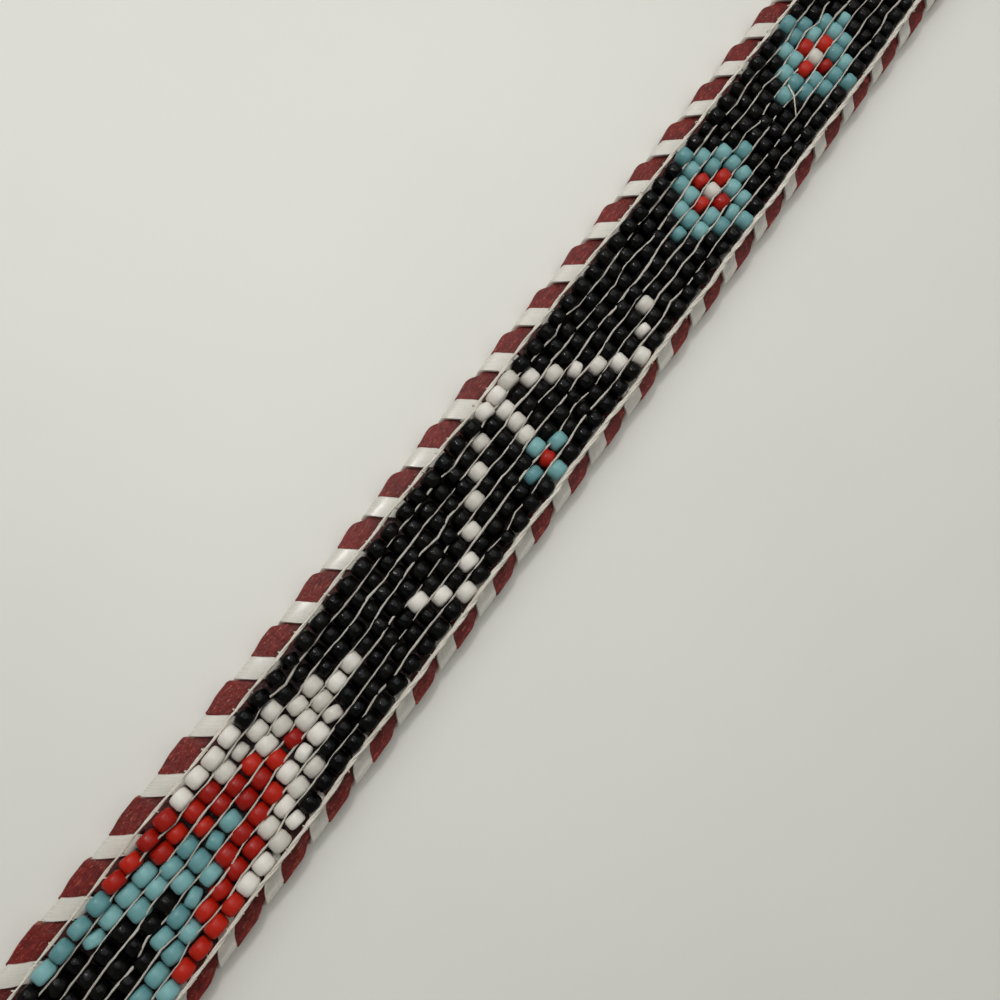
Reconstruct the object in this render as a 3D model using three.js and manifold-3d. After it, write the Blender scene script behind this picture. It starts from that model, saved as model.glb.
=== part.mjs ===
import * as THREE from 'three';
import { mergeVertices } from 'three/addons/utils/BufferGeometryUtils.js';
import Module from 'manifold-3d';

const wasm = await Module();
wasm.setup();

// A leather belt faced with a loom-woven band of seed beads, its edges whip-stitched with flat lacing.
// Millimetres. The belt lies face up: X runs along it, from the buckle to the tip, and Z is up.

// Beadwork
const ROW_PITCH = 3.1;            // one row of beads, along the belt
const ROWS = 173;
const LINE_PITCH = 2.22;          // one line of beads with its warp thread, across the belt
const LINES = 7;
const BEAD_DEPTH = 2.9;
const GROOVE_DEPTH = 0.8;         // valley between two lines, where the warp thread lies
const CROWN_DEPTH = 0.15;         // fall from the top of a line to its shoulder
const SHOULDER = 0.72;            // half-width of a line's flat top
const EDGE_CORD = 0.8;           // the thick outer warp on each side
const BAND_OFFSET = -0.2;         // the band is sewn on a little off the middle

// Leather strap
const MARGIN = 1.73;              // leather beyond each edge cord
const STRAP_THICKNESS = 2;
const BUCKLE_END = 47;            // bar's centre to the first row of beads
const TURN_BACK = 29;             // length folded under, from the bar's centre
const BILLET = 108;               // last row of beads to the tip
const TIP_LENGTH = 17;
const TIP_NOSE = 4.5;             // half-width of the blunt nose at the very tip
const EASE_LENGTH = 12;           // run over which the strap changes level
const FOLD_SLOPE = 13;            // run from the bar down onto the turned-back end
const CLEARANCE = 0.3;

// Prong holes in the billet
const HOLE_DIAMETER = 3;
const HOLES = 5;
const HOLE_PITCH = 14;
const HOLE_TO_TIP = 30;

// Lacing, up through a slit, out over the front, round the edge and along the back to the next slit
const LACE_WIDTH = 3.2;
const LACE_THICKNESS = 0.7;
const LACE_COVER = 3.9;           // length of edge that one turn hides
const STITCH_PITCH = 9.18;
const SLIT_INSET = 2.9;           // slit's centre line to the edge

// Buckle, with its prong
const BUCKLE_REACH = 20;          // bar's centre to the front rail's centre
const FRONT_LIFT = 0.2;           // keeps the leaning rail's lower corner off the table
const RAIL_WIDTH = 3.2;
const RAIL_THICKNESS = 2.8;
const RAIL_BEVEL = 0.7;
const SIDE_PLAY = 0.8;            // strap's edge to the frame's side
const FRAME_CORNER = 5;
const PRONG_WIDTH = 3;
const PRONG_PLAY = 0.7;
const PRONG_DEPTH = 2;
const COLLAR_WALL = 0.9;
const PRONG_SLOT = 9;             // bar's centre to the closed end of the slot in the fold

// Rivet through the fold
const RIVET_PLACE = 20;           // bar's centre to the rivet
const RIVET_SHANK = 3;
const RIVET_HEAD = 8;
const RIVET_HEAD_DEPTH = 0.7;
const ROUND_SIDES = 20;

// Widths and levels, from the lacing's back runs on the table upwards
const STRAP_WIDTH = LINES * LINE_PITCH + 2 * (EDGE_CORD + MARGIN);
const HALF_WIDTH = STRAP_WIDTH / 2;
const STRAP_MIDDLE = LACE_THICKNESS + CLEARANCE + STRAP_THICKNESS / 2;
const STRAP_UNDER = STRAP_MIDDLE - STRAP_THICKNESS / 2;
const STRAP_TOP = STRAP_MIDDLE + STRAP_THICKNESS / 2;
const UPPER_MIDDLE = STRAP_MIDDLE + STRAP_THICKNESS + CLEARANCE;
const BAR_HEIGHT = STRAP_TOP + CLEARANCE + RAIL_THICKNESS / 2;
const FOLD_RADIUS = BAR_HEIGHT - STRAP_MIDDLE;

// Places along the belt, from the middle of the beadwork
const BEADED_LENGTH = ROWS * ROW_PITCH;
const BEADS_START = -BEADED_LENGTH / 2;
const BEADS_END = BEADED_LENGTH / 2;
const BAR_X = BEADS_START - BUCKLE_END;
const TIP_X = BEADS_END + BILLET;
const SLIT_Y = HALF_WIDTH - SLIT_INSET;
const SLITS_EACH_WAY = Math.floor(BEADED_LENGTH / 2 / STITCH_PITCH);

const LEATHER = new THREE.MeshStandardMaterial({ color: 0x7a2420, roughness: 0.5, metalness: 0 });
const BEADS = new THREE.MeshStandardMaterial({ color: 0x16161a, roughness: 0.25, metalness: 0 });
const LACING = new THREE.MeshStandardMaterial({ color: 0xe4dfd4, roughness: 0.4, metalness: 0 });
const METAL = new THREE.MeshStandardMaterial({ color: 0xb9b9b4, roughness: 0.3, metalness: 1 });

const X_AXIS = new THREE.Vector3(1, 0, 0);
const Y_AXIS = new THREE.Vector3(0, 1, 0);
const Z_AXIS = new THREE.Vector3(0, 0, 1);

function solidOf(geometry) {
  const bare = geometry.clone();
  bare.deleteAttribute('normal');
  bare.deleteAttribute('uv');
  const merged = mergeVertices(bare, 1e-5);
  return new wasm.Manifold(new wasm.Mesh({
    numProp: 3,
    vertProperties: new Float32Array(merged.attributes.position.array),
    triVerts: new Uint32Array(merged.index.array),
  }));
}

function geometryOf(solid) {
  const mesh = solid.getMesh();
  const geometry = new THREE.BufferGeometry();
  geometry.setAttribute('position', new THREE.BufferAttribute(mesh.vertProperties, 3));
  geometry.setIndex(new THREE.BufferAttribute(mesh.triVerts, 1));
  geometry.computeVertexNormals();
  return geometry;
}

function named(name, geometry, material) {
  const mesh = new THREE.Mesh(geometry, material);
  mesh.name = name;
  return mesh;
}

// A shape drawn in X and Z, given a width across the belt
function acrossBelt(shape, width, options = {}) {
  const geometry = new THREE.ExtrudeGeometry(shape, { depth: width, bevelEnabled: false, ...options });
  geometry.applyMatrix4(new THREE.Matrix4().makeBasis(X_AXIS, Z_AXIS, Y_AXIS.clone().negate()));
  return geometry.translate(0, width / 2, 0);
}

function upright(radius, height, x, y, middle) {
  const geometry = new THREE.CylinderGeometry(radius, radius, height, ROUND_SIDES);
  return geometry.rotateX(Math.PI / 2).translate(x, y, middle);
}

// A smooth change of level between two points of a side view
function ease(x0, z0, x1, z1, steps = 6) {
  const points = [];
  for (let i = 1; i <= steps; i += 1) {
    const t = i / steps;
    points.push(new THREE.Vector2(x0 + (x1 - x0) * t, z0 + (z1 - z0) * t * t * (3 - 2 * t)));
  }
  return points;
}

// The closed outline of a strip of even thickness that follows a path
function stripOutline(path, thickness) {
  const near = [];
  const far = [];
  path.forEach((point, i) => {
    const before = path[Math.max(i - 1, 0)];
    const after = path[Math.min(i + 1, path.length - 1)];
    const along = after.clone().sub(before).normalize();
    const side = new THREE.Vector2(-along.y, along.x).multiplyScalar(thickness / 2);
    near.push(point.clone().add(side));
    far.unshift(point.clone().sub(side));
  });
  return new THREE.Shape([...near, ...far]);
}

// Side view of the strap's middle: turned-back end, fold round the bar, run under the beads, billet
function strapPath() {
  const tailEnd = BAR_X + TURN_BACK;
  const path = [new THREE.Vector2(tailEnd, STRAP_MIDDLE)];
  const foldSteps = 12;
  for (let i = 0; i <= foldSteps; i += 1) {
    const angle = -Math.PI / 2 - (Math.PI * i) / foldSteps;
    path.push(new THREE.Vector2(
      BAR_X + FOLD_RADIUS * Math.cos(angle),
      BAR_HEIGHT + FOLD_RADIUS * Math.sin(angle),
    ));
  }
  const dropStart = tailEnd + CLEARANCE;
  path.push(...ease(BAR_X, BAR_HEIGHT + FOLD_RADIUS, BAR_X + FOLD_SLOPE, UPPER_MIDDLE));
  path.push(new THREE.Vector2(dropStart, UPPER_MIDDLE));
  path.push(...ease(dropStart, UPPER_MIDDLE, dropStart + EASE_LENGTH, STRAP_MIDDLE));
  const billetStart = BEADS_END + CLEARANCE;
  path.push(new THREE.Vector2(billetStart, STRAP_MIDDLE));
  path.push(...ease(billetStart, STRAP_MIDDLE, billetStart + EASE_LENGTH, STRAP_THICKNESS / 2));
  path.push(new THREE.Vector2(TIP_X, STRAP_THICKNESS / 2));
  return path;
}

function strapPlan() {
  const start = BAR_X - FOLD_RADIUS - STRAP_THICKNESS;
  const shoulder = TIP_X - TIP_LENGTH;
  const plan = new THREE.Shape();
  plan.moveTo(start, -HALF_WIDTH);
  plan.lineTo(shoulder, -HALF_WIDTH);
  plan.quadraticCurveTo(TIP_X - TIP_LENGTH / 3, -HALF_WIDTH, TIP_X, -TIP_NOSE);
  plan.lineTo(TIP_X, TIP_NOSE);
  plan.quadraticCurveTo(TIP_X - TIP_LENGTH / 3, HALF_WIDTH, shoulder, HALF_WIDTH);
  plan.lineTo(start, HALF_WIDTH);
  plan.closePath();
  return plan;
}

// One slit in the middle of the beadwork and as many each way as fit beside it
function slitPlaces() {
  const places = [];
  for (let i = -SLITS_EACH_WAY; i <= SLITS_EACH_WAY; i += 1) {
    places.push(i * STITCH_PITCH);
  }
  return places;
}

function leatherStrap() {
  const width = STRAP_WIDTH + 2 * CLEARANCE;
  const height = BAR_HEIGHT + FOLD_RADIUS + STRAP_THICKNESS;
  const strip = solidOf(acrossBelt(stripOutline(strapPath(), STRAP_THICKNESS), width));
  const tall = { depth: height + 1, bevelEnabled: false, curveSegments: 10 };
  const plan = new THREE.ExtrudeGeometry(strapPlan(), tall).translate(0, 0, -0.5);
  const cuts = [];
  const slit = [LACE_WIDTH + 2 * CLEARANCE, LACE_THICKNESS + 2 * CLEARANCE, STRAP_THICKNESS + 1];
  for (const side of [1, -1]) {
    for (const x of slitPlaces()) {
      cuts.push(new THREE.BoxGeometry(...slit).translate(x, side * SLIT_Y, STRAP_MIDDLE));
    }
  }
  for (let i = 0; i < HOLES; i += 1) {
    const x = TIP_X - HOLE_TO_TIP - i * HOLE_PITCH;
    cuts.push(upright(HOLE_DIAMETER / 2, STRAP_THICKNESS + 1, x, 0, STRAP_THICKNESS / 2));
  }
  cuts.push(upright(RIVET_SHANK / 2 + CLEARANCE, 2 * height, BAR_X + RIVET_PLACE, 0, height));
  const slotLength = PRONG_SLOT + FOLD_RADIUS + STRAP_THICKNESS;
  const slot = new THREE.BoxGeometry(slotLength, PRONG_WIDTH + 2 * PRONG_PLAY, 2 * height);
  cuts.push(slot.translate(BAR_X + PRONG_SLOT - slotLength / 2, 0, height));
  const whole = strip.intersect(solidOf(plan));
  return geometryOf(whole.subtract(wasm.Manifold.union(cuts.map(solidOf))));
}

// The band's underside is flat in the middle and lifted at both edges, where it lies on the lacing
function edgeLift(y) {
  const full = SLIT_Y - LACE_THICKNESS / 2 - CLEARANCE;
  const start = full - LINE_PITCH;
  const share = THREE.MathUtils.clamp((Math.abs(y) - start) / (full - start), 0, 1);
  return (LACE_THICKNESS + CLEARANCE) * share;
}

function beadBand() {
  const base = STRAP_TOP + CLEARANCE;
  const halfBeads = (LINES * LINE_PITCH) / 2;
  const halfBand = halfBeads + EDGE_CORD;
  const at = (y, z) => new THREE.Vector2(y + BAND_OFFSET, z + edgeLift(y + BAND_OFFSET));
  const groove = base + BEAD_DEPTH - GROOVE_DEPTH;
  const top = [at(-halfBand, base), at(-halfBand, groove - EDGE_CORD / 2), at(EDGE_CORD / 3 - halfBand, groove)];
  for (let line = 0; line < LINES; line += 1) {
    const middle = (line + 0.5) * LINE_PITCH - halfBeads;
    const shoulder = base + BEAD_DEPTH - CROWN_DEPTH;
    top.push(at(middle - LINE_PITCH / 2, groove));
    top.push(at(middle - SHOULDER, shoulder));
    top.push(at(middle, base + BEAD_DEPTH));
    top.push(at(middle + SHOULDER, shoulder));
  }
  top.push(at(halfBeads, groove));
  top.push(at(halfBand - EDGE_CORD / 3, groove), at(halfBand, groove - EDGE_CORD / 2), at(halfBand, base));
  const full = SLIT_Y - LACE_THICKNESS / 2 - CLEARANCE;
  const under = [full, full - LINE_PITCH, LINE_PITCH - full, -full];
  const points = [...top, ...under.map((y) => new THREE.Vector2(y, base + edgeLift(y)))];
  const section = new THREE.Shape(points);
  const geometry = new THREE.ExtrudeGeometry(section, { depth: BEADED_LENGTH, bevelEnabled: false });
  geometry.applyMatrix4(new THREE.Matrix4().makeBasis(Y_AXIS, Z_AXIS, X_AXIS));
  return geometry.translate(BEADS_START, 0, 0);
}

// One turn of the lace, seen along the belt. Each row gives the corner of the leather that it passes (a share of
// the inset, outwards from the slit, and the face), the side of that corner, how far along the pitch it has gone
// and how much of the edge it covers.
const CHAMFER = Math.tan(Math.PI / 8);
const LACE_TURN = [
  { corner: 'slit_under', out: 1, up: 1, travel: 0, cover: LACE_WIDTH },
  { corner: 'slit_top', out: 1, up: 1, travel: 0, cover: LACE_WIDTH },
  { corner: 'edge_top', out: CHAMFER, up: 1, travel: 0.25, cover: LACE_COVER },
  { corner: 'edge_top', out: 1, up: CHAMFER, travel: 0.28, cover: LACE_COVER },
  { corner: 'edge_under', out: 1, up: CHAMFER, travel: 0.42, cover: LACE_COVER },
  { corner: 'edge_under', out: CHAMFER, up: 1, travel: 0.45, cover: LACE_COVER },
];

// The lace's inner or outer face at one row of the turn, a distance off the leather
function laceFace(row, distance) {
  const slit = row.corner.startsWith('slit');
  const top = row.corner.endsWith('top');
  const faceZ = top ? STRAP_TOP : STRAP_UNDER;
  const z = faceZ + (top ? 1 : -1) * distance * row.up;
  const y = slit ? SLIT_Y + LACE_THICKNESS / 2 + CLEARANCE - distance : HALF_WIDTH + distance * row.out;
  return { y, z };
}

function laceSection(row, slitX) {
  const x = slitX - row.travel * STITCH_PITCH;
  const inner = laceFace(row, CLEARANCE);
  const outer = laceFace(row, CLEARANCE + LACE_THICKNESS);
  const half = row.cover / 2;
  const corners = [[-half, inner], [-half, outer], [half, outer], [half, inner]];
  return corners.map(([along, face]) => new THREE.Vector3(x + along, face.y, face.z));
}

// A closed skin over sections that have the same number of points
function loft(sections) {
  const sides = sections[0].length;
  const faces = [];
  for (let i = 0; i + 1 < sections.length; i += 1) {
    for (let j = 0; j < sides; j += 1) {
      const a = i * sides + j;
      const b = i * sides + ((j + 1) % sides);
      faces.push(a, b, b + sides, a, b + sides, a + sides);
    }
  }
  const last = (sections.length - 1) * sides;
  for (let j = 1; j + 1 < sides; j += 1) {
    faces.push(0, j + 1, j, last, last + j, last + j + 1);
  }
  const geometry = new THREE.BufferGeometry().setFromPoints(sections.flat());
  geometry.setIndex(faces);
  geometry.computeVertexNormals();
  return geometry;
}

function leftLacing() {
  const slits = slitPlaces().reverse();
  const sections = [];
  slits.slice(0, -1).forEach((x) => {
    LACE_TURN.forEach((row) => sections.push(laceSection(row, x)));
  });
  const end = slits[slits.length - 1];
  LACE_TURN.slice(0, 2).forEach((row) => sections.push(laceSection(row, end)));
  return loft(sections);
}

// The other edge's lacing is the mirror image, its faces turned to point out again
function rightLacing() {
  const geometry = leftLacing().scale(1, -1, 1);
  geometry.setIndex(Array.from(geometry.index.array).reverse());
  geometry.computeVertexNormals();
  return geometry;
}

// Side view of the prong: a collar round the bar and a tongue that reaches over the front rail
function prongShape() {
  const collar = RAIL_THICKNESS / 2 + COLLAR_WALL;
  const railTop = RAIL_THICKNESS / 2;
  const overhang = BUCKLE_REACH + RAIL_WIDTH / 2 + 1;
  const shape = new THREE.Shape();
  shape.absarc(0, 0, collar, -Math.PI / 2, Math.PI / 2, false);
  shape.quadraticCurveTo(-BUCKLE_REACH / 2, collar + PRONG_DEPTH / 2, -BUCKLE_REACH, railTop + PRONG_DEPTH);
  shape.quadraticCurveTo(-overhang + 0.5, railTop + PRONG_DEPTH, -overhang, railTop);
  shape.lineTo(-overhang + 1, railTop - CLEARANCE);
  shape.lineTo(-BUCKLE_REACH + RAIL_WIDTH / 4, railTop - CLEARANCE);
  shape.quadraticCurveTo(-BUCKLE_REACH / 2, railTop, -collar, 0);
  shape.closePath();
  return shape;
}

function roundedRectangle(x0, x1, half, radius) {
  const shape = new THREE.Shape();
  shape.moveTo(x0 + radius, -half);
  shape.lineTo(x1, -half);
  shape.lineTo(x1, half);
  shape.lineTo(x0 + radius, half);
  shape.quadraticCurveTo(x0, half, x0, half - radius);
  shape.lineTo(x0, radius - half);
  shape.quadraticCurveTo(x0, -half, x0 + radius, -half);
  return shape;
}

function buckle() {
  const bevel = { bevelEnabled: true, bevelSize: RAIL_BEVEL, bevelThickness: RAIL_BEVEL, bevelSegments: 1 };
  const insideHalf = HALF_WIDTH + SIDE_PLAY;
  const slim = RAIL_WIDTH / 2 - RAIL_BEVEL;
  const barSlim = RAIL_THICKNESS / 2 - RAIL_BEVEL;
  const outsideHalf = insideHalf + RAIL_WIDTH - RAIL_BEVEL;
  const frame = roundedRectangle(-BUCKLE_REACH - slim, barSlim, outsideHalf, FRAME_CORNER);
  const inner = roundedRectangle(
    -BUCKLE_REACH + slim, -barSlim, insideHalf + RAIL_BEVEL, FRAME_CORNER - RAIL_WIDTH / 2,
  );
  frame.holes.push(new THREE.Path(inner.getPoints(4).reverse()));
  const depth = RAIL_THICKNESS - 2 * RAIL_BEVEL;
  const ring = new THREE.ExtrudeGeometry(frame, { depth, curveSegments: 5, ...bevel }).translate(0, 0, -depth / 2);
  const prong = acrossBelt(prongShape(), PRONG_WIDTH, { curveSegments: 6 });
  return geometryOf(solidOf(ring).add(solidOf(prong)));
}

function strapRivet() {
  const top = UPPER_MIDDLE + STRAP_THICKNESS / 2 + CLEARANCE;
  const under = STRAP_UNDER - CLEARANCE;
  const shank = RIVET_SHANK / 2;
  const head = RIVET_HEAD / 2;
  const profile = [
    [0, under - RIVET_HEAD_DEPTH], [head, under - RIVET_HEAD_DEPTH], [head, under], [shank, under], [shank, top],
    [head, top], [head * 0.8, top + RIVET_HEAD_DEPTH * 0.8], [0, top + RIVET_HEAD_DEPTH],
  ];
  return new THREE.LatheGeometry(profile.map(([r, z]) => new THREE.Vector2(r, z)), ROUND_SIDES);
}

const belt = new THREE.Group();
belt.add(named('leather_strap', leatherStrap(), LEATHER));
belt.add(named('bead_band', beadBand(), BEADS));
belt.add(named('lacing_left', leftLacing(), LACING));
belt.add(named('lacing_right', rightLacing(), LACING));

const rivet = named('strap_rivet', strapRivet(), METAL);
rivet.position.x = BAR_X + RIVET_PLACE;
rivet.rotation.x = Math.PI / 2;
belt.add(rivet);

// The frame leans down from the bar until its front rail lies on the table
const frameBuckle = named('buckle', buckle(), METAL);
frameBuckle.position.set(BAR_X, 0, BAR_HEIGHT);
frameBuckle.rotation.y = -Math.asin((BAR_HEIGHT - RAIL_THICKNESS / 2 - FRONT_LIFT) / BUCKLE_REACH);
belt.add(frameBuckle);

// The middle of the belt's length stands at the origin
belt.updateMatrixWorld(true);
belt.position.x = -new THREE.Box3().setFromObject(belt, true).getCenter(new THREE.Vector3()).x;

const model = new THREE.Group();
model.add(belt);

export default model;
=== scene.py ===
# %% [markdown]
# # A beaded belt
# The real thing is a narrow leather belt. A band of glass seed beads, woven on a loom, lies along its face, and
# flat plastic lacing is whip-stitched through slits along both edges. The frame that is loaded first holds the
# belt's true sizes as plain solids. Everything below dresses those solids, piece by piece, in metres.

# %% Load the belt's frame
import math
import random

import bpy
import numpy as np
from mathutils import Euler, Matrix, Vector


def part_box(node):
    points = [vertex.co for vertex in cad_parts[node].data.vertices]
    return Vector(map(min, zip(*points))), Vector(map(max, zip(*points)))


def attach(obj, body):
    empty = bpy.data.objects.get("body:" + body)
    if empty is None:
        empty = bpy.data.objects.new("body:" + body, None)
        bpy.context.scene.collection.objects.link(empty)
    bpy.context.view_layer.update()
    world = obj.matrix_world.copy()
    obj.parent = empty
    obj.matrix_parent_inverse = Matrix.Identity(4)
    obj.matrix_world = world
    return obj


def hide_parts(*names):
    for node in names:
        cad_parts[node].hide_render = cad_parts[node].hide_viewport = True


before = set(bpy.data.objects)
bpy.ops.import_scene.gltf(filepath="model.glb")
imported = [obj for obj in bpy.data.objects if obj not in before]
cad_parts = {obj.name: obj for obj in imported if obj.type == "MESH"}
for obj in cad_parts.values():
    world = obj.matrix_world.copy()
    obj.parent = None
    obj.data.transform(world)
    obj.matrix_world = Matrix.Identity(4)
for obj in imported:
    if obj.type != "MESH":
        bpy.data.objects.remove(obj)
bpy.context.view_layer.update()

MM = 0.001

# %% [markdown]
# ## Where things lie
# A maker starts from the beads: one bead sets the pitch of a row, and one bead and its warp thread set the pitch
# of a line. Both are read back from the solid band here, so the beads fit it exactly. Row 0 is the point of the
# big chevron, and the pattern is the same on both sides of row 39.

# %% Rows, lines and levels
LINES = 7
MIDDLE_LINE = (LINES + 1) // 2
ROWS = 173
MIDDLE_ROW = 39
EDGE_CORD = 0.8 * MM
BEAD_DEPTH = 2.9 * MM
band_low, band_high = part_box("bead_band")
BAND_MIDDLE = (band_low + band_high) / 2
ROW_PITCH = (band_high.x - band_low.x) / ROWS
LINE_PITCH = (band_high.y - band_low.y - 2 * EDGE_CORD) / LINES
EDGE_LIFT = band_high.z - band_low.z - BEAD_DEPTH
FIRST_ROW = MIDDLE_ROW - ROWS // 2

strap_low, strap_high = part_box("leather_strap")
HALF_WIDTH = (strap_high.y - strap_low.y) / 2
STRAP_THICKNESS = 2 * MM
CLEARANCE = 0.3 * MM
LACE_THICKNESS = 0.7 * MM
STRAP_UNDER = LACE_THICKNESS + CLEARANCE
STRAP_TOP = STRAP_UNDER + STRAP_THICKNESS
STITCH_PITCH = 9.18 * MM
SLIT_INSET = 2.9 * MM
SLIT_Y = HALF_WIDTH - SLIT_INSET
STITCHES_EACH_WAY = math.floor((band_high.x - band_low.x) / 2 / STITCH_PITCH)
LIFT_END = SLIT_Y - LACE_THICKNESS / 2 - CLEARANCE
LIFT_START = LIFT_END - LINE_PITCH


def smooth(low, high, value):
    """0 up to low, 1 from high on, and an easy curve between them."""
    share = min(max((value - low) / (high - low), 0), 1)
    return share * share * (3 - 2 * share)


def edge_lift(y):
    """The band's edges ride up on the lacing."""
    return EDGE_LIFT * smooth(LIFT_START, LIFT_END, abs(y))


def row_lean(row):
    """How far a row slants along the belt for each step across it: a loom's rows wander."""
    peak_row, mean, swing, wave_rows = 2, 0.057, 0.2, 28.8
    return mean + swing * math.cos((row - peak_row) / wave_rows)


def bead_place(line, row):
    """Middle of a bead. Line 1 lies at +Y, line 4 in the middle."""
    across = MIDDLE_LINE - line
    y = BAND_MIDDLE.y + across * LINE_PITCH
    x = BAND_MIDDLE.x + (row - MIDDLE_ROW) * ROW_PITCH + across * LINE_PITCH * row_lean(row)
    return Vector((x, y, band_low.z + BEAD_DEPTH / 2 + edge_lift(y)))


print("row pitch", round(ROW_PITCH / MM, 3), "line pitch", round(LINE_PITCH / MM, 3))

# %% [markdown]
# ## Finishes from sums
# Procedural finishes are sums: a grain is one noise plus another, times how strong it should be. Wiring them by
# hand hides the idea, so a small class lets a socket be added and multiplied in Python, and each sum makes its
# Math node. One method makes every other kind of node.


# %% Sockets that add and multiply
class Wire:
    """An output socket that Python's operators can work on."""

    def __init__(self, finish, socket):
        self.finish = finish
        self.socket = socket

    def maths(self, operation, *values):
        return self.finish.node("ShaderNodeMath", {"operation": operation}, dict(enumerate(values)))

    def __add__(self, other):
        return self.maths("ADD", self, other)

    def __rsub__(self, other):
        return self.maths("SUBTRACT", other, self)

    def __mul__(self, other):
        return self.maths("MULTIPLY", self, other)

    def step(self, low, high):
        """0 below low and 1 above high, with an easy curve between."""
        settings = {"interpolation_type": "SMOOTHSTEP"}
        return self.finish.node("ShaderNodeMapRange", settings, {"Value": self, "From Min": low, "From Max": high})

    __rmul__ = __mul__


class Finish:
    """A material with one Principled shader."""

    def __init__(self, name, **constants):
        self.material = bpy.data.materials.new(name)
        self.material.use_nodes = True
        self.tree = self.material.node_tree
        self.shader = self.tree.nodes["Principled BSDF"]
        for socket, value in constants.items():
            self.shader.inputs[socket.replace("_", " ")].default_value = value

    def node(self, kind, settings=None, values=None, output=0):
        made = self.tree.nodes.new(kind)
        for name, value in (settings or {}).items():
            setattr(made, name, value)
        for name, value in (values or {}).items():
            if isinstance(value, Wire):
                self.tree.links.new(value.socket, made.inputs[name])
            else:
                made.inputs[name].default_value = value
        return Wire(self, made.outputs[output])

    def place(self, stretch=(1, 1, 1)):
        """The point on the piece, in metres, with its axes stretched."""
        point = self.node("ShaderNodeTexCoord", output="Object")
        return self.node("ShaderNodeMapping", None, {"Vector": point, "Scale": stretch})

    def unrolled(self, stretch=(1, 1, 1)):
        """The point on the flat blank that a bent piece was cut from."""
        point = self.node("ShaderNodeUVMap", {"uv_map": "UVMap"})
        return self.node("ShaderNodeMapping", None, {"Vector": point, "Scale": stretch})

    def attribute(self, name):
        return self.node("ShaderNodeAttribute", {"attribute_name": name}, output="Fac")

    def noise(self, where, size, detail=3, roughness=0.5):
        """Soft noise whose blots are about size metres across."""
        values = {"Vector": where, "Scale": 1 / size, "Detail": detail, "Roughness": roughness}
        return self.node("ShaderNodeTexNoise", None, values)

    def cells(self, where, size, feature="F1"):
        """Pebbles about size metres across."""
        return self.node("ShaderNodeTexVoronoi", {"feature": feature}, {"Vector": where, "Scale": 1 / size})

    def mix(self, share, first, second):
        """A blend of two colours."""
        colours = {0: share, 6: first, 7: second}
        return self.node("ShaderNodeMix", {"data_type": "RGBA"}, colours, output=2)

    def feed(self, socket, value):
        self.tree.links.new(value.socket, self.shader.inputs[socket])

    def relief(self, height, depth):
        """Bump whose full height is depth metres."""
        bump = self.node("ShaderNodeBump", None, {"Height": height, "Strength": 1.0, "Distance": depth})
        self.feed("Normal", bump)


def rgb(red, green, blue):
    """A screen colour, 0 to 255, as the linear light that a shader takes."""
    return tuple(((v / 255 + 0.055) / 1.055) ** 2.4 if v > 10 else v / 255 / 12.92 for v in (red, green, blue)) + (1,)


# %% [markdown]
# ## Glass beads
# Seed beads are cut from drawn glass tube and tumbled hot, so each is a little different. One finish serves all
# four colours: every bead carries a number of its own, which moves its colour a little, and a faint unevenness
# breaks up the highlight as hand-made glass does.


# %% The glass
def glass(name, dark, light, roughness, sheen, unevenness):
    finish = Finish(name, IOR=1.5, Specular_IOR_Level=sheen)
    tint = finish.attribute("tint")
    cloud = finish.noise(finish.place(), 1.6 * MM, detail=2)
    finish.feed("Base Color", finish.mix((tint * 0.75 + cloud * 0.4).step(0.1, 0.95), dark, light))
    pits = finish.noise(finish.place(), 0.35 * MM, detail=2)
    finish.feed("Roughness", pits * 0.16 + (tint * 0.1 + (roughness - 0.13)))
    dimples = finish.noise(finish.place(), 1.1 * MM, detail=1)
    finish.relief(dimples * 0.8 + pits * 0.2, unevenness)
    return finish.material


GLASS = {
    "black": glass("glass_black", rgb(2, 2, 2), rgb(9, 8, 7), 0.15, 0.12, 0.16 * MM),
    "white": glass("glass_white", rgb(190, 185, 174), rgb(219, 214, 204), 0.36, 0.3, 0.08 * MM),
    "red": glass("glass_red", rgb(138, 17, 8), rgb(172, 31, 14), 0.34, 0.22, 0.08 * MM),
    "turquoise": glass("glass_turquoise", rgb(84, 132, 135), rgb(120, 168, 168), 0.34, 0.28, 0.08 * MM),
}

# %% [markdown]
# ## The pattern
# Loom work is planned on squared paper. The belt's figures are few and regular, so the chart is written as the
# rules that a beader keeps in mind: a chevron steps back two rows for each line away from the middle, a flower is
# a diamond of three colours, and the flying bird is the same on both sides of its own middle row.

# %% The chart
CHEVRON_END = -20
CHEVRON_STEP = 2
BIRD_ROW = 13
FLOWER_ROWS = (29, 39)
CHEVRON_STRIPES = [("white", 4), ("red", 4), ("turquoise", 4)]
BIRD = {
    1: {"white": (0, 1)},
    2: {"white": (0, 2)},
    3: {"white": (0, 3)},
    4: {"white": (0, 4)},
    5: {"turquoise": (0,), "white": (5, 9)},
    6: {"red": (0,), "turquoise": (1,), "white": (6, 8)},
    7: {"turquoise": (0,), "white": (7,)},
}
FLOWER = {
    3: {"turquoise": (0,)},
    2: {"turquoise": (0, 1)},
    1: {"red": (0,), "turquoise": (1, 2)},
    0: {"white": (0,), "red": (1,), "turquoise": (2, 3)},
}


def listed(figure, line, steps):
    """The colour that a figure gives a bead so many rows from its middle."""
    for colour, places in figure[line].items():
        if steps in places:
            return colour
    return None


def chevron_colour(line, row):
    depth = -row - CHEVRON_STEP * abs(line - MIDDLE_LINE)
    for colour, width in CHEVRON_STRIPES:
        if 0 <= depth < width:
            return colour
        depth -= width
    return None


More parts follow.
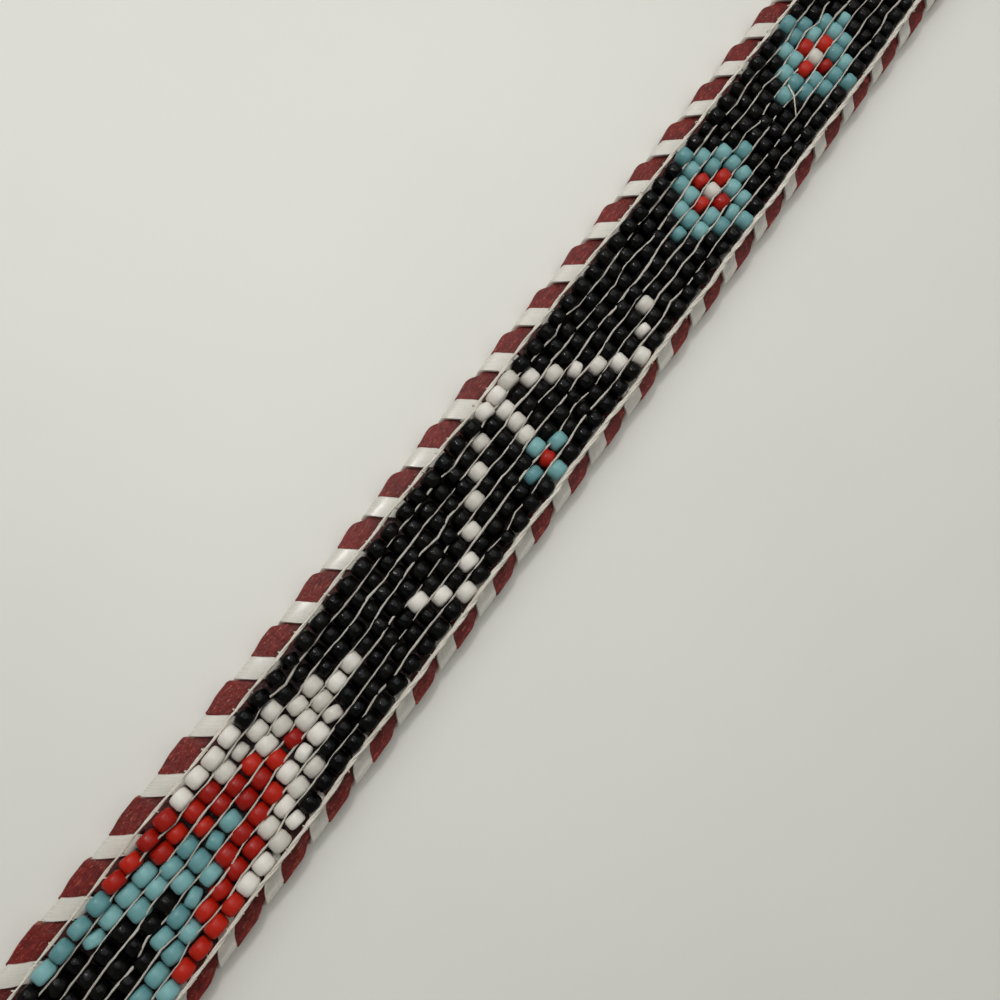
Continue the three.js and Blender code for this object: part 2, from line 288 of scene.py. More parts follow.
def bead_colour(line, row):
    if row > MIDDLE_ROW:
        row = 2 * MIDDLE_ROW - row
    if row < CHEVRON_END:
        row = 2 * CHEVRON_END - row
    found = chevron_colour(line, row) or listed(BIRD, line, abs(row - BIRD_ROW))
    for middle in FLOWER_ROWS:
        found = found or listed(FLOWER, abs(line - MIDDLE_LINE), abs(row - middle))
    return found or "black"


for line in range(1, LINES + 1):
    print("".join(bead_colour(line, row)[0].replace("b", ".") for row in range(CHEVRON_END, MIDDLE_ROW + LINES)))

# %% [markdown]
# ## One bead, many times
# A seed bead is a short thick ring with soft rims. Seen from above on the loom it is a rounded square, so the
# rims matter more than the roundness: a ten-sided cylinder with two-step rims is enough. It is modelled once, and
# each copy is stretched, turned and shifted a little, which is what makes the rows look hand-woven.


# %% Helpers for modelling
def start_clean():
    if bpy.context.object and bpy.context.object.mode != "OBJECT":
        bpy.ops.object.mode_set(mode="OBJECT")
    bpy.ops.object.select_all(action="DESELECT")


def apply_place(piece):
    start_clean()
    piece.select_set(True)
    bpy.context.view_layer.objects.active = piece
    bpy.ops.object.transform_apply(location=True, rotation=True, scale=True)


def select_faces(piece, wanted):
    """Leaves edit mode on with just the faces that wanted() picks."""
    start_clean()
    bpy.context.view_layer.objects.active = piece
    bpy.ops.object.mode_set(mode="EDIT")
    bpy.ops.mesh.select_mode(type="FACE")
    bpy.ops.mesh.select_all(action="DESELECT")
    bpy.ops.object.mode_set(mode="OBJECT")
    for face in piece.data.polygons:
        face.select = wanted(face)
    bpy.ops.object.mode_set(mode="EDIT")


def use_modifier(piece, kind, **settings):
    start_clean()
    bpy.context.view_layer.objects.active = piece
    piece.select_set(True)
    modifier = piece.modifiers.new(kind.title(), kind)
    for name, value in settings.items():
        setattr(modifier, name, value)
    bpy.ops.object.modifier_apply(modifier=modifier.name)


def shade(piece, angle=None):
    start_clean()
    piece.select_set(True)
    bpy.context.view_layer.objects.active = piece
    if angle is None:
        bpy.ops.object.shade_smooth()
    else:
        bpy.ops.object.shade_smooth_by_angle(angle=math.radians(angle))


def finished(piece, name, material, stands_for):
    """Names a piece, gives it its finish and joins it to the belt."""
    piece.name = name
    piece.data.name = name
    piece.data.materials.clear()
    piece.data.materials.append(material)
    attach(piece, "root")
    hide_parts(stands_for)
    print(name, len(piece.data.polygons), "faces")
    return piece


def copies(template, places, name, tints=None):
    """One mesh with a copy of the template at every place, each with its own tint."""
    corners = np.array([v.co[:] + (1,) for v in template.data.vertices])
    faces = [tuple(face.vertices) for face in template.data.polygons]
    points = np.concatenate([(corners @ np.array(place).T)[:, :3] for place in places])
    steps = [i * len(corners) for i in range(len(places))]
    mesh = bpy.data.meshes.new(name)
    mesh.from_pydata(points.tolist(), [], [tuple(v + step for v in face) for step in steps for face in faces])
    if tints is not None:
        attribute = mesh.attributes.new("tint", "FLOAT", "FACE")
        attribute.data.foreach_set("value", np.repeat(np.array(tints, dtype=np.float32), len(faces)))
    piece = bpy.data.objects.new(name, mesh)
    bpy.context.scene.collection.objects.link(piece)
    return piece


# %% The bead
BEAD_RADIUS = 1.5 * MM
BEAD_LENGTH = 2.12 * MM
RIM = 0.52 * MM
BEAD_SIDES = 10


def model_bead():
    start_clean()
    bpy.ops.mesh.primitive_cylinder_add(
        vertices=BEAD_SIDES, radius=BEAD_RADIUS, depth=BEAD_LENGTH,
        rotation=(math.pi / 2, math.pi / BEAD_SIDES, 0),
    )
    bead = bpy.context.object
    apply_place(bead)
    select_faces(bead, lambda face: abs(face.normal.y) > 0.9)
    bpy.ops.mesh.bevel(offset=RIM, segments=2, profile=0.5, affect="EDGES")
    start_clean()
    return bead


bead = model_bead()

# %% Weave the beads
# How far beads stray from their places, across the belt, along it and in height
LINE_WANDER = 0.07 * MM
ROW_WANDER = 0.09 * MM
HEIGHT_WANDER = 0.04 * MM
# How much they differ in width, length and depth, and how few are odd ones, with their sizes
WIDTH_SPREAD = 0.025
LENGTH_SPREAD = 0.04
DEPTH_SPREAD = 0.02
DEPTH_MEAN = 0.99
ODD_BEADS = 0.14
ODD_WIDTH = (0.82, 0.96)
ODD_LENGTH = (0.78, 0.94)
# Their turns, in radians: a share of the row's lean, then how far they roll, spin and tip
LEAN_SHARE = -0.45
ROLL_SPREAD = 0.05
SPIN = 0.3
TIP_SPREAD = 0.07
ODD_TIP = (0.1, 0.3)


def woven_bead(dice, line, row):
    """A bead's place, turn and stretch. Few are odd ones, small or tipped, as in any handful."""
    place = bead_place(line, row)
    odd = dice.random() < ODD_BEADS
    wide = dice.gauss(1, WIDTH_SPREAD) * (dice.uniform(*ODD_WIDTH) if odd else 1)
    long = dice.gauss(1, LENGTH_SPREAD) * (dice.uniform(*ODD_LENGTH) if odd else 1)
    deep = dice.gauss(DEPTH_MEAN, DEPTH_SPREAD)
    place.x += dice.gauss(0, ROW_WANDER)
    place.y += dice.gauss(0, LINE_WANDER)
    place.z += dice.gauss(0, HEIGHT_WANDER)
    lean = LEAN_SHARE * math.atan(row_lean(row))
    tip = dice.gauss(0, TIP_SPREAD) + (dice.choice((-1, 1)) * dice.uniform(*ODD_TIP) if odd else 0)
    turn = Euler((dice.gauss(0, ROLL_SPREAD), dice.uniform(-SPIN, SPIN), lean + tip))
    return Matrix.Translation(place) @ turn.to_matrix().to_4x4() @ Matrix.Diagonal((wide, long, deep, 1))


BEAD_SEED = 39


def weave():
    dice = random.Random(BEAD_SEED)
    places = {colour: [] for colour in GLASS}
    tints = {colour: [] for colour in GLASS}
    for row in range(FIRST_ROW, FIRST_ROW + ROWS):
        for line in range(1, LINES + 1):
            colour = bead_colour(line, row)
            places[colour].append(woven_bead(dice, line, row))
            tints[colour].append(dice.random())
    for colour, material in GLASS.items():
        piece = copies(bead, places[colour], f"beads_{colour}", tints[colour])
        shade(piece)
        finished(piece, f"beads_{colour}", material, "bead_band")


weave()
bpy.data.objects.remove(bead)

# %% [markdown]
# ## Threads
# Eight warp threads run the whole length. The six inner ones are fine and sink between the lines, in sight where
# the rims leave room. The outer two carry all the strain, so they are thick cords, of two strands on one side and
# three on the other, and the fine weft loops round them at the end of each row. A thread is a curve with a round
# section, turned into a mesh.


# %% Cotton
def cotton(name, dark, light):
    finish = Finish(name, Roughness=0.85)
    lint = finish.noise(finish.place(), 0.22 * MM, detail=4, roughness=0.7)
    soil = finish.noise(finish.place(), 9 * MM, detail=3)
    shade_of = (lint * 0.6 + soil * 0.5).step(0.3, 0.85)
    finish.feed("Base Color", finish.mix(shade_of, dark, light))
    finish.relief(lint, 0.12 * MM)
    return finish.material


CORD_COTTON = cotton("cotton_cord", rgb(192, 184, 168), rgb(232, 227, 215))
FINE_COTTON = cotton("cotton_thread", rgb(160, 152, 140), rgb(214, 208, 196))


# %% The warp
THREAD_ROUNDING = 1


def thread(name, routes, radius):
    """A mesh of round threads. Each route is a list of points with a share of the radius."""
    data = bpy.data.curves.new(name, "CURVE")
    data.dimensions = "3D"
    data.bevel_depth = radius
    data.bevel_resolution = THREAD_ROUNDING
    for route in routes:
        line = data.splines.new("POLY")
        line.points.add(len(route) - 1)
        for knot, (point, share) in zip(line.points, route):
            knot.co = (*point, 1)
            knot.radius = share
    piece = bpy.data.objects.new(name, data)
    bpy.context.scene.collection.objects.link(piece)
    start_clean()
    piece.select_set(True)
    bpy.context.view_layer.objects.active = piece
    bpy.ops.object.convert(target="MESH")
    shade(piece)
    return piece


WARP_RADIUS = 0.13 * MM
WARP_STEPS = 4
WARP_SINK = 0.34 * MM         # below the beads' tops
WARP_DIVE = 0.34 * MM         # deeper still where it dives
DIVE_SHARE = 0.17             # of the rows
WARP_DIPS = 0.3 * MM
LEAST_SINK = 0.15 * MM
WARP_DRIFT = 0.14 * MM
WARP_JITTER = 0.02 * MM
WARP_KINK = 0.19 * MM
SWELL = 0.6                   # shares of the radius
FUZZ = 0.25


WAVES = 5
WAVE_SIZES = (0.6, 1)
WAVE_LENGTHS = (7 * MM, 60 * MM)


def wander(dice, length, step):
    """A slow drift to both sides, as shares of 1, with one value for each step of a route."""
    waves = [
        (dice.uniform(*WAVE_SIZES), dice.uniform(*WAVE_LENGTHS), dice.uniform(0, math.tau)) for _ in range(WAVES)
    ]
    total = sum(size for size, _, _ in waves)
    return [
        sum(size * math.sin(i * step * math.tau / wave + phase) for size, wave, phase in waves) / total
        for i in range(length)
    ]


def inner_warp(dice, gap):
    """One fine thread in the gap between two lines of beads."""
    count = ROWS * WARP_STEPS
    step = ROW_PITCH / WARP_STEPS
    drift = wander(dice, count, step)
    dips = wander(dice, count, step)
    swells = wander(dice, count, step)
    kinks = [dice.gauss(0, WARP_KINK) for _ in range(ROWS + 2)]
    dives = [dice.random() < DIVE_SHARE for _ in range(ROWS + 2)]
    route = []
    for i in range(count):
        row, share = divmod(i, WARP_STEPS)
        share = share / WARP_STEPS
        x = band_low.x + (i + 0.5) * step
        y = BAND_MIDDLE.y + gap * LINE_PITCH + WARP_DRIFT * drift[i] + dice.gauss(0, WARP_JITTER)
        y += kinks[row] * (1 - share) + kinks[row + 1] * share
        sink = WARP_SINK + WARP_DIPS * dips[i] + WARP_DIVE * (dives[row] * (1 - share) + dives[row + 1] * share)
        z = band_low.z + BEAD_DEPTH - max(sink, LEAST_SINK) + edge_lift(y)
        route.append(((x, y, z), 1 + SWELL * swells[i] + dice.uniform(-FUZZ, FUZZ)))
    return route


WARP_SEED = 11
dice = random.Random(WARP_SEED)
gaps = [after_line - LINES / 2 for after_line in range(1, LINES)]
warp = thread("warp_threads", [inner_warp(dice, gap) for gap in gaps], WARP_RADIUS)
finished(warp, "warp_threads", FINE_COTTON, "bead_band")

# %% The edge cords
STRAND_RADIUS = {1: 0.18 * MM, -1: 0.225 * MM}
STRAND_OUT = {1: 0.12 * MM, -1: 0.19 * MM}
STRANDS = {1: 2, -1: 3}
CORD_TWIST = 8.5 * MM
CORD_STEP = 0.4 * MM
CORD_LEVEL = 0.68             # of the beads' depth
CORD_DRIFT = 0.3 * MM
CORD_SAG = 0.2 * MM
FRAY_TURN = 1.8               # how far the twist runs ahead or lags, in radians
THINNEST = 0.75
STRAND_SPREAD = (0.9, 1.12)
CORD_SEED = 5
CORD_OUT = LINES / 2 * LINE_PITCH + EDGE_CORD / 2
THIN_STRETCH = (-190 * MM, -110 * MM)


def edge_strand(dice, side, phase, drift, sag):
    """One of the strands that wind slowly round each other along an edge."""
    route = []
    fray = wander(dice, len(drift), CORD_STEP)
    for i in range(len(drift)):
        x = band_low.x + i * CORD_STEP
        slack = THINNEST + (1 - THINNEST) * smooth(*THIN_STRETCH, x)
        y = BAND_MIDDLE.y + side * CORD_OUT + CORD_DRIFT * drift[i]
        z = band_low.z + CORD_LEVEL * BEAD_DEPTH + edge_lift(y) + CORD_SAG * sag[i]
        turn = phase + math.tau * x / CORD_TWIST + FRAY_TURN * fray[i]
        out = STRAND_OUT[side] * slack
        share = slack * dice.uniform(*STRAND_SPREAD)
        route.append(((x, y + out * math.cos(turn), z + out * math.sin(turn)), share * STRAND_RADIUS[side] / MM))
    return route


def edge_cords():
    dice = random.Random(CORD_SEED)
    count = int((band_high.x - band_low.x) / CORD_STEP)
    routes = []
    for side in (1, -1):
        drift = wander(dice, count, CORD_STEP)
        sag = wander(dice, count, CORD_STEP)
        for i in range(STRANDS[side]):
            routes.append(edge_strand(dice, side, math.tau * i / STRANDS[side], drift, sag))
    return thread("edge_cords", routes, MM)


finished(edge_cords(), "edge_cords", CORD_COTTON, "bead_band")

# %% The weft's turns round the edge cords
WEFT_RADIUS = 0.1 * MM
RING_RADIUS = 0.36 * MM
RING_LIFT = 0.33 * MM
RING_SHIFT = 0.2 * MM
RING_TIP = 0.15               # turns in radians
RING_LEAN = (-0.2, 0.6)
RING_SEED = 8


def weft_turns():
    start_clean()
    bpy.ops.mesh.primitive_torus_add(
        major_segments=9, minor_segments=4, major_radius=RING_RADIUS, minor_radius=WEFT_RADIUS,
        rotation=(0, math.pi / 2, 0),
    )
    ring = bpy.context.object
    apply_place(ring)
    dice = random.Random(RING_SEED)
    places = []
    for row in range(FIRST_ROW, FIRST_ROW + ROWS):
        for side, line in ((1, 1), (-1, LINES)):
            middle = bead_place(line, row)
            y = BAND_MIDDLE.y + side * CORD_OUT
            place = Vector((middle.x + dice.gauss(0, RING_SHIFT), y, middle.z + RING_LIFT))
            turn = Euler((0, dice.gauss(0, RING_TIP), side * dice.uniform(*RING_LEAN)))
            places.append(Matrix.Translation(place) @ turn.to_matrix().to_4x4())
    piece = copies(ring, places, "weft_turns")
    bpy.data.objects.remove(ring)
    shade(piece)
    return piece


finished(weft_turns(), "weft_turns", CORD_COTTON, "bead_band")

# %% A loose end of the weft
TAIL_RADIUS = 0.13 * MM
TAIL = [(-27.4, 0.4, 6.1), (-28.3, -0.6, 6.5), (-28.9, -1.4, 6.75), (-29.6, -1.9, 6.8), (-30.4, -2.7, 6.6),
        (-31.2, -3.5, 6.35)]
tail = thread("thread_end", [[(Vector(point) * MM, 1.2 - 0.1 * i) for i, point in enumerate(TAIL)]], TAIL_RADIUS)
finished(tail, "thread_end", CORD_COTTON, "bead_band")

# %% [markdown]
# ## The lacing's path
# The lace comes up through a slit, leans outwards over the front, turns round the edge and runs back underneath
# to the next slit. One turn is a short table of the places that it passes, and a smooth curve through them gives
# the soft bends of the real lace. Hand lacing is never even, so its width and lean drift along the belt.

# %% One turn of the lace
LACE_DEPTH = 0.6 * MM
# Each side was laced in one go, so each has its own habits, in millimetres. From the strap's middle line: the
# leather under a turn, its sharp corner beside a turn and its fullest place. Then how much edge a turn hides, how
# far that swings along the belt, how far the turns drift from even places, where along the belt both are greatest,
# and how far that side's slits lie ahead of the other's.
HABITS = {
    1: {"pinched": 10.3, "corner": 11.1, "fullest": 11.45, "cover": 3.6, "swing": 0.05, "drift": 0.7, "peak": -125,
        "ahead": 0.9},
    -1: {"pinched": 9.95, "corner": 10.8, "fullest": 10.75, "cover": 3.65, "swing": 0.35, "drift": 0.6, "peak": -103,
         "ahead": 0},
}
SWING_LENGTH = 28 * MM
# Each row: from which line it is measured, distance out from there, from which level, height above it, share of
# the pitch travelled, share of the cover
LACE_TURN = [
    ("slit", 0, "under", 0.2, 0, 0.7),
    ("slit", 0, "top", -0.2, 0, 0.7),
    ("slit", 0.3, "top", 0.38, 0.02, 0.85),
    ("slit", 1.1, "top", 0.44, 0.09, 1),
    ("edge", -0.7, "top", 0.38, 0.19, 1),
    ("edge", 0.24, "top", 0.1, 0.275, 1),
    ("edge", 0.38, "middle", 0, 0.33, 1),
    ("edge", 0.24, "under", -0.1, 0.38, 1),
    ("edge", -0.7, "under", -0.38, 0.46, 1),
    ("slit", 1.1, "under", -0.38, 0.72, 1),
    ("slit", 0.3, "under", -0.38, 0.95, 0.85),
]
LEVELS = {"under": STRAP_UNDER, "top": STRAP_TOP, "middle": (STRAP_UNDER + STRAP_TOP) / 2}
EDGE_TRAVEL = 0.3 * STITCH_PITCH


def habit(side, name):
    return HABITS[side][name] * MM


def hand_swing(side, x):
    return math.cos((x - habit(side, "peak")) / SWING_LENGTH)


def lace_cover(side, x):
    """How much of the edge a turn hides, which drifts as the hand tires."""
    return habit(side, "cover") + habit(side, "swing") * hand_swing(side, x)


def slit_places(side):
    steps = range(-STITCHES_EACH_WAY, STITCHES_EACH_WAY + 1)
    return [BAND_MIDDLE.x + habit(side, "ahead") + i * STITCH_PITCH for i in steps]


def edge_middle(side, slit_x):
    """Where along the edge a turn's middle crosses it."""
    return slit_x - EDGE_TRAVEL + habit(side, "drift") * hand_swing(side, slit_x)


def bare_stretches(side):
    """The stretches of leather in sight between the turns, along one edge."""
    turns = [(edge_middle(side, x), lace_cover(side, x) / 2) for x in slit_places(side)]
    return [(a + half_a, b - half_b) for (a, half_a), (b, half_b) in zip(turns, turns[1:])]


print("turns a side", len(slit_places(1)), "first bare stretch", [round(v / MM, 1) for v in bare_stretches(1)[0]])

# %% [markdown]
# ## The strap
# A belt maker cuts a flat blank, punches it, and only then folds it round the buckle's bar. The model is made in
# that order: a fine grid is given its outline, its thickness and its holes while it lies flat, and every point is
# then carried onto the folded path. The edge swells between the lacing's turns and is pinched under them.


# %% The path that the blank is folded onto
FOLD_RADIUS = 2.7 * MM
FOLD_STEPS = 36
STRAP_MIDDLE = STRAP_UNDER + STRAP_THICKNESS / 2
BAR_HEIGHT = STRAP_MIDDLE + FOLD_RADIUS
BAR_X = strap_low.x + FOLD_RADIUS + STRAP_THICKNESS / 2
UPPER_MIDDLE = STRAP_MIDDLE + STRAP_THICKNESS + CLEARANCE
TURN_BACK = 29 * MM
FOLD_SLOPE = 13 * MM
EASE_LENGTH = 12 * MM
EASE_STEPS = 24
TIP_X = strap_high.x


def ease(start, end):
    """Points of a slope that is level at both ends."""
    (x, z), (end_x, end_z) = start, end
    shares = [(i + 1) / EASE_STEPS for i in range(EASE_STEPS)]
    return [(x + (end_x - x) * share, z + (end_z - z) * smooth(0, 1, share)) for share in shares]


def strap_path():
    """Side view of the strap's middle, from the turned-back end to the tip."""
    tail = (BAR_X + TURN_BACK, STRAP_MIDDLE)
    drop = tail[0] + CLEARANCE
    billet = band_high.x + CLEARANCE
    path = [tail]
    for i in range(FOLD_STEPS + 1):
        angle = -math.pi / 2 - math.pi * i / FOLD_STEPS
        path.append((BAR_X + FOLD_RADIUS * math.cos(angle), BAR_HEIGHT + FOLD_RADIUS * math.sin(angle)))
    path += ease(path[-1], (BAR_X + FOLD_SLOPE, UPPER_MIDDLE))
    path.append((drop, UPPER_MIDDLE))
    path += ease(path[-1], (drop + EASE_LENGTH, STRAP_MIDDLE))
    path.append((billet, STRAP_MIDDLE))
    path += ease(path[-1], (billet + EASE_LENGTH, STRAP_THICKNESS / 2))
    path.append((TIP_X, STRAP_THICKNESS / 2))
    return np.array(path)


PATH = strap_path()
PATH_LENGTHS = np.concatenate([[0], np.cumsum(np.hypot(*np.diff(PATH, axis=0).T))])
FOLD = int(np.argmin(PATH[:, 0]))
# Along the beadwork a place on the blank has the same number as its place along the belt
PATH_SHIFT = float(np.interp(BAND_MIDDLE.x, PATH[FOLD:, 0], PATH_LENGTHS[FOLD:])) - BAND_MIDDLE.x
BLANK_START = -PATH_SHIFT
BLANK_END = float(PATH_LENGTHS[-1]) - PATH_SHIFT


def folded(points):
    """Carries points of the flat blank (along, across, up) onto the path."""
    along = points[:, 0] + PATH_SHIFT
    reach = 0.15 * MM
    spots = [np.interp(along, PATH_LENGTHS, PATH[:, i]) for i in (0, 1)]
    ahead = [np.interp(along + reach, PATH_LENGTHS, PATH[:, i]) for i in (0, 1)]
    behind = [np.interp(along - reach, PATH_LENGTHS, PATH[:, i]) for i in (0, 1)]
    dx, dz = ahead[0] - behind[0], ahead[1] - behind[1]
    size = np.hypot(dx, dz)
    up = points[:, 2]
    return np.column_stack([spots[0] - dz / size * up, points[:, 1], spots[1] + dx / size * up])


print("blank", round((BLANK_END - BLANK_START) / MM, 1), "mm long")

# %% The blank's outline
TIP_LENGTH = 17 * MM
TIP_NOSE = 4.5 * MM
TIP_FULLNESS = 2.6
SHOULDER = 0.12 * MM
UNDER_TURN = 0.3 * MM         # how far in under the next turn the leather is still being drawn in
FULL_AFTER = 3 * MM
PINCH_POWER = 1.5
# On the side at +Y the corners are cut crisply at the buckle's end, and grow round along this stretch
CRISP_STRETCH = (-170 * MM, -115 * MM)
CRISP_LENGTH = 0.5 * MM
ROUND_LENGTH = 2.6 * MM
A_HAIR = 0.0001 * MM
BARE = {side: bare_stretches(side) for side in (1, -1)}
CORNERS = {side: np.array([start for start, _ in BARE[side]]) for side in (1, -1)}


def roundness(side, x):
    """How far from the next turn the leather starts to be drawn in."""
    crisp = (1 - smooth(*CRISP_STRETCH, x)) if side > 0 else 0
    return ROUND_LENGTH + (CRISP_LENGTH - ROUND_LENGTH) * crisp


def edge_of(side, x):
    """Distance from the middle line to the leather's edge."""
    i = int(np.searchsorted(CORNERS[side], x + A_HAIR)) - 1
    if i < 0 or x > BARE[side][-1][1]:
        return HALF_WIDTH
    start, end = BARE[side][i]
    pinched, corner, fullest = (habit(side, name) for name in ("pinched", "corner", "fullest"))
    if x > end + UNDER_TURN:
        near_next = i + 1 < len(BARE[side]) and BARE[side][i + 1][0] - x < SHOULDER
        return corner if near_next else pinched
    free = corner + (fullest - corner) * smooth(start, start + FULL_AFTER, x)
    drawn_in = smooth(end - roundness(side, x), end + UNDER_TURN, x) ** PINCH_POWER
    return free + (pinched - free) * drawn_in


def half_width(side, x):
    free = edge_of(side, x)
    into_tip = (x - (TIP_X - TIP_LENGTH)) / TIP_LENGTH
    if into_tip <= 0:
        return free
    return TIP_NOSE + (free - TIP_NOSE) * (1 - min(into_tip, 1) ** TIP_FULLNESS)


COLUMN = 0.42 * MM
ACROSS = 14
NEAR_EDGE = 0.6
EDGE_ROUND = 0.34 * MM


def cut_blank():
    length = BLANK_END - BLANK_START
    start_clean()
    bpy.ops.mesh.primitive_grid_add(
        x_subdivisions=int(length / COLUMN), y_subdivisions=ACROSS, size=1,
        location=((BLANK_START + BLANK_END) / 2, 0, 0),
    )
    blank = bpy.context.object
    # Across, the grid runs from -1 to 1, and a sine gathers its lines towards the edges
    blank.scale = (length, 2, 1)
    apply_place(blank)
    for vertex in blank.data.vertices:
        side = 1 if vertex.co.y > 0 else -1
        nearest = CORNERS[side][np.argmin(np.abs(CORNERS[side] - vertex.co.x))]
        if abs(vertex.co.y) > NEAR_EDGE and abs(nearest - vertex.co.x) < COLUMN / 2:
            vertex.co.x = nearest
        vertex.co.y = half_width(side, vertex.co.x) * math.sin(vertex.co.y * math.pi / 2)
    use_modifier(blank, "SOLIDIFY", thickness=STRAP_THICKNESS, offset=0)
    use_modifier(blank, "BEVEL", width=EDGE_ROUND, segments=2, limit_method="ANGLE", angle_limit=math.radians(50))
    return blank


# %% Slits, holes and the slot for the prong
LACE_SLIT = (3.8 * MM, 1.2 * MM)
HOLE_RADIUS = 1.5 * MM
HOLES = 5
HOLE_PITCH = 14 * MM
HOLE_TO_TIP = 30 * MM
RIVET_PLACE = 20 * MM
RIVET_HOLE = 1.8 * MM
PRONG_SLOT = 9 * MM
PRONG_SLOT_WIDTH = 4.4 * MM


def on_blank(x, upper=True):
    """The place on the blank that ends up at x, on the upper or the turned-back layer."""
    part = slice(FOLD, None) if upper else slice(0, FOLD)
    xs, lengths = PATH[part, 0], PATH_LENGTHS[part]
    order = np.argsort(xs)
    return float(np.interp(x, xs[order], lengths[order])) - PATH_SHIFT


def punch(kind, x, size):
    """A tool on the blank's middle line, long enough to pass right through."""
    start_clean()
    deep = 3 * STRAP_THICKNESS
    if kind == "box":
        bpy.ops.mesh.primitive_cube_add(size=1, location=(x, 0, 0))
        bpy.context.object.scale = (size[0], size[1], deep)
    else:
        bpy.ops.mesh.primitive_cylinder_add(vertices=24, radius=size, depth=deep, location=(x, 0, 0))
    return bpy.context.object


def punches():
    tools = []
    slit = punch("box", 0, LACE_SLIT)
    apply_place(slit)
    places = [Matrix.Translation((x, side * SLIT_Y, 0)) for side in (1, -1) for x in slit_places(side)]
    tools.append(copies(slit, places, "slit_punches"))
    bpy.data.objects.remove(slit)
    tools += [punch("round", on_blank(TIP_X - HOLE_TO_TIP - i * HOLE_PITCH), HOLE_RADIUS) for i in range(HOLES)]
    tools += [punch("round", on_blank(BAR_X + RIVET_PLACE, upper), RIVET_HOLE) for upper in (True, False)]
    ends = [on_blank(BAR_X + PRONG_SLOT, upper) for upper in (True, False)]
    tools.append(punch("box", sum(ends) / 2, (abs(ends[0] - ends[1]), PRONG_SLOT_WIDTH)))
    start_clean()
    for tool in tools:
        tool.select_set(True)
    bpy.context.view_layer.objects.active = tools[0]
    bpy.ops.object.join()
    apply_place(tools[0])
    return tools[0]


# %% Fold the strap
PILLOW = 0.12 * MM
PILLOW_REACH = 0.8
# How far from the middle line the leather under the beadwork gets painted shade, and over how much it fades out
COVERED_TO = 8.6 * MM
COVER_FADE = 0.8 * MM


def note(mesh, name, values):
    attribute = mesh.attributes.new(name, "FLOAT", "POINT")
    attribute.data.foreach_set("value", np.asarray(values, dtype=np.float32))


def unroll_map(mesh, points):
    """A UV map in metres of the flat blank."""
    corners = np.empty(len(mesh.loops), dtype=np.int32)
    mesh.loops.foreach_get("vertex_index", corners)
    while mesh.uv_layers:
        mesh.uv_layers.remove(mesh.uv_layers[0])
    layer = mesh.uv_layers.new(name="UVMap")
    layer.data.foreach_set("uv", points[corners, :2].astype(np.float32).ravel())


def make_strap():
    strap = cut_blank()
    tool = punches()
    use_modifier(strap, "BOOLEAN", object=tool, operation="DIFFERENCE", solver="MANIFOLD")
    bpy.data.objects.remove(tool)
    mesh = strap.data
    points = np.array([v.co[:] for v in mesh.vertices])
    unroll_map(mesh, points)
    note(mesh, "depth", points[:, 2] / (STRAP_THICKNESS / 2))
    near_edge = np.clip((np.abs(points[:, 1]) - SLIT_Y) / SLIT_INSET, 0, 1)
    free = np.array([edge_of(1 if y > 0 else -1, x) > HALF_WIDTH for x, y in points[:, :2]])
    points[:, 2] += np.where(points[:, 2] > 0, PILLOW * free * np.sin(near_edge * math.pi * PILLOW_REACH), 0)
    # Painted shade under the beadwork: 1 where the leather is clear of it, 0 under the beads
    beaded = (points[:, 0] > band_low.x) & (points[:, 0] < band_high.x)
    note(mesh, "clear_of_painted_shade", 1 - beaded * np.clip((COVERED_TO - np.abs(points[:, 1])) / COVER_FADE, 0, 1))
    mesh.vertices.foreach_set("co", folded(points).ravel())
    mesh.update()
    shade(strap, 40)
    return strap


# %% [markdown]
# ## Leather
# The strap is smooth dark red leather with a fine grain and a little gloss. Where it is cut, the brown core shows
# and the fibres stand up, and the back is bare flesh side. The blank knew which side and how deep each point was,
# so the finish asks it: full depth is grain, the middle of the thickness is cut edge, and the rest is flesh.


# %% The leather's finish
DYE = (rgb(74, 9, 6), rgb(124, 27, 18))
# Painted sheen and fine light scratches on the grain, as one pale pinkish colour
SHEEN_AND_SCRATCH_TINT = rgb(200, 112, 86)
# Painted shade: the near black that the leather hidden under the beads is darkened to
PAINTED_SHADE_UNDER_BEADS = rgb(34, 8, 7)
CUT_EDGE = (rgb(104, 42, 30), rgb(170, 104, 80))
FLESH = (rgb(126, 74, 56), rgb(168, 116, 90))
GRAIN_RELIEF = 0.15 * MM


